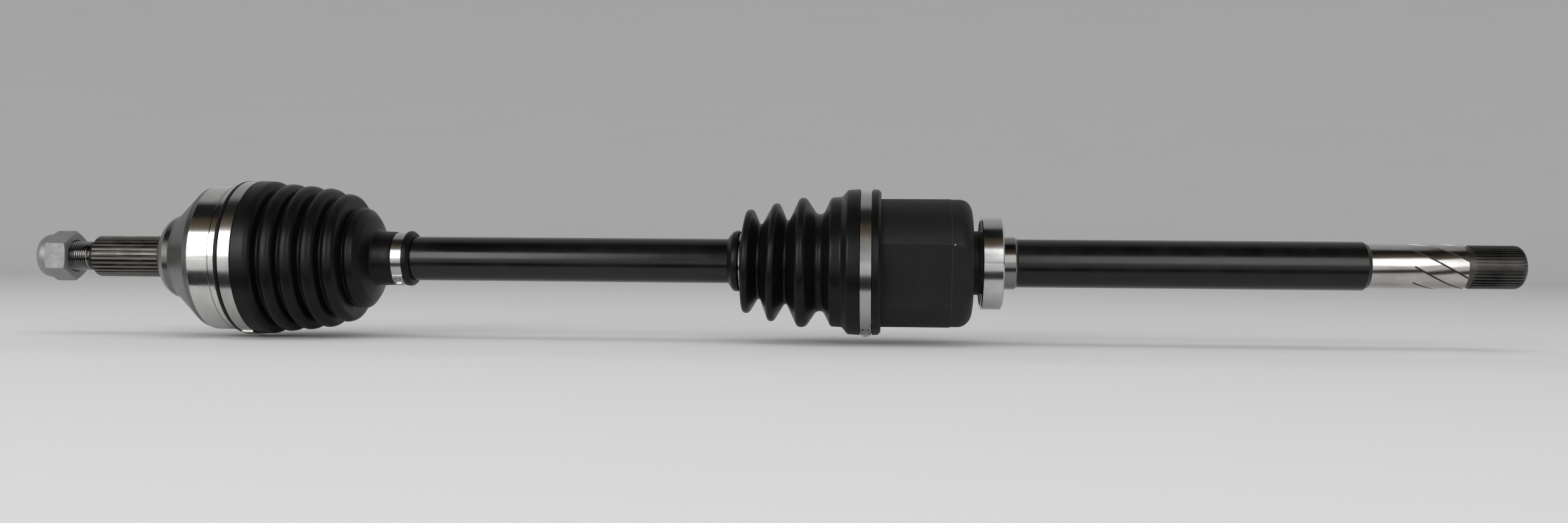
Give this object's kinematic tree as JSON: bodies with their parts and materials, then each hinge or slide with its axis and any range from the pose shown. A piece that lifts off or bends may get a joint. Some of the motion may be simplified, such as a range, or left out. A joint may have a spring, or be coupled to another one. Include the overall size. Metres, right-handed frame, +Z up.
{
  "type": "cv axle",
  "caption": "Front-wheel drive shaft: ball-type fixed joint with splined stub and nut, booted bar, sliding tripod joint, and an intermediate shaft in a support bearing.",
  "frame": {"origin": "centre of the support bearing, on the axle's axis", "axes": "+X along the axle from the wheel end to the gearbox end, +Z up; the front of the part faces -Y"},
  "size_m": [0.9984, 0.1056, 0.107],
  "materials": {
    "hub_nut": "matt zinc",
    "outer_joint_housing": "turned and ground steel",
    "outer_race": "ground steel",
    "outer_cage": "ground steel",
    "ball_steel": "polished bearing steel",
    "circlip": "spring steel",
    "bar_paint": "semi-gloss black",
    "spider": "ground steel",
    "roller": "ground steel",
    "needle": "ground steel",
    "washer": "steel",
    "inner_housing": "speckled matt black",
    "bearing_ring": "polished bearing steel",
    "bearing_cage": "pressed steel",
    "seal": "matt black",
    "boot": "matt black",
    "clamp": "stainless band"
  },
  "bodies": {
    "bearing_outer": {"bearing_outer_ring": "bearing_ring", "bearing_seal_left": "seal", "bearing_seal_right": "seal"},
    "intermediate_shaft": {"inner_joint_housing": "inner_housing", "bearing_inner_ring": "bearing_ring", "inner_boot_large_clamp": "clamp"},
    "bearing_ball_set": {"bearing_balls": "ball_steel", "bearing_cage": "bearing_cage"},
    "inner_boot_slider": {"inner_boot": "boot"},
    "bar": {"axle_bar": "bar_paint", "outer_inner_race": "outer_race", "outer_race_circlip": "circlip", "tripod_spider": "spider", "spider_circlip": "circlip", "roller_washers": "washer", "roller_circlips": "circlip", "inner_boot_small_clamp": "clamp", "outer_boot_small_clamp": "clamp"},
    "outer_cage_set": {"outer_cage": "outer_cage", "outer_balls": "ball_steel"},
    "wheel_end": {"outer_joint_housing": "outer_joint_housing", "outer_boot_large_clamp": "clamp", "outer_boot": "boot"},
    "hub_nut": {"hub_nut": "hub_nut"},
    "tripod_roller_1_body": {"tripod_roller_1": "roller"},
    "tripod_needles_1_body": {"tripod_needles_1": "needle"},
    "tripod_roller_2_body": {"tripod_roller_2": "roller"},
    "tripod_needles_2_body": {"tripod_needles_2": "needle"},
    "tripod_roller_3_body": {"tripod_roller_3": "roller"},
    "tripod_needles_3_body": {"tripod_needles_3": "needle"}
  },
  "joints": [
    {"name": "shaft_spin", "type": "hinge", "parent": "bearing_outer", "child": "intermediate_shaft", "pos_m": [0, 0, 0], "axis": [1, 0, 0], "continuous": true},
    {"name": "bearing_cage_spin", "type": "hinge", "parent": "bearing_outer", "child": "bearing_ball_set", "pos_m": [0, 0, 0], "axis": [1, 0, 0], "continuous": true},
    {"name": "inner_plunge", "type": "slide", "parent": "intermediate_shaft", "child": "inner_boot_slider", "axis": [-1, 0, 0], "range_m": [-0.015, 0.015], "deforming": ["inner_boot"]},
    {"name": "inner_bend", "type": "hinge", "parent": "inner_boot_slider", "child": "bar", "pos_m": [-0.066, 0, 0], "axis": [0, 0, 1], "range_deg": [-23, 23], "deforming": ["inner_boot"]},
    {"name": "outer_bend", "type": "hinge", "parent": "bar", "child": "wheel_end", "pos_m": [-0.52, 0, 0], "axis": [0, 0, 1], "range_deg": [-45, 45], "deforming": ["outer_boot"]},
    {"name": "outer_cage_turn", "type": "hinge", "parent": "bar", "child": "outer_cage_set", "pos_m": [-0.52, 0, 0], "axis": [0, 0, 1], "range_deg": [-22.6, 22.6]},
    {"name": "nut_travel", "type": "slide", "parent": "wheel_end", "child": "hub_nut", "axis": [-1, 0, 0], "range_m": [-0.014, 0.03]},
    {"name": "roller_1_turn", "type": "hinge", "parent": "bar", "child": "tripod_roller_1_body", "pos_m": [-0.066, 0, 0], "axis": [0, 0.9686, 0.2487], "range_deg": [-52, 52]},
    {"name": "needles_1_turn", "type": "hinge", "parent": "bar", "child": "tripod_needles_1_body", "pos_m": [-0.066, 0, 0], "axis": [0, 0.9686, 0.2487], "range_deg": [-30, 30]},
    {"name": "roller_2_turn", "type": "hinge", "parent": "bar", "child": "tripod_roller_2_body", "pos_m": [-0.066, 0, 0], "axis": [0, -0.6997, 0.7145], "range_deg": [-52, 52]},
    {"name": "needles_2_turn", "type": "hinge", "parent": "bar", "child": "tripod_needles_2_body", "pos_m": [-0.066, 0, 0], "axis": [0, -0.6997, 0.7145], "range_deg": [-30, 30]},
    {"name": "roller_3_turn", "type": "hinge", "parent": "bar", "child": "tripod_roller_3_body", "pos_m": [-0.066, 0, 0], "axis": [0, -0.2689, -0.9632], "range_deg": [-52, 52]},
    {"name": "needles_3_turn", "type": "hinge", "parent": "bar", "child": "tripod_needles_3_body", "pos_m": [-0.066, 0, 0], "axis": [0, -0.2689, -0.9632], "range_deg": [-30, 30]}
  ],
  "couplings": [
    {"joint": "bearing_cage_spin", "follows": "shaft_spin", "ratio": 0.4175},
    {"joint": "outer_cage_turn", "follows": "outer_bend", "ratio": 0.5},
    {"joint": "roller_1_turn", "follows": "inner_plunge", "rad_per_m": 58.824},
    {"joint": "needles_1_turn", "follows": "inner_plunge", "rad_per_m": 33.44},
    {"joint": "roller_2_turn", "follows": "inner_plunge", "rad_per_m": 58.824},
    {"joint": "needles_2_turn", "follows": "inner_plunge", "rad_per_m": 33.44},
    {"joint": "roller_3_turn", "follows": "inner_plunge", "rad_per_m": 58.824},
    {"joint": "needles_3_turn", "follows": "inner_plunge", "rad_per_m": 33.44}
  ]
}
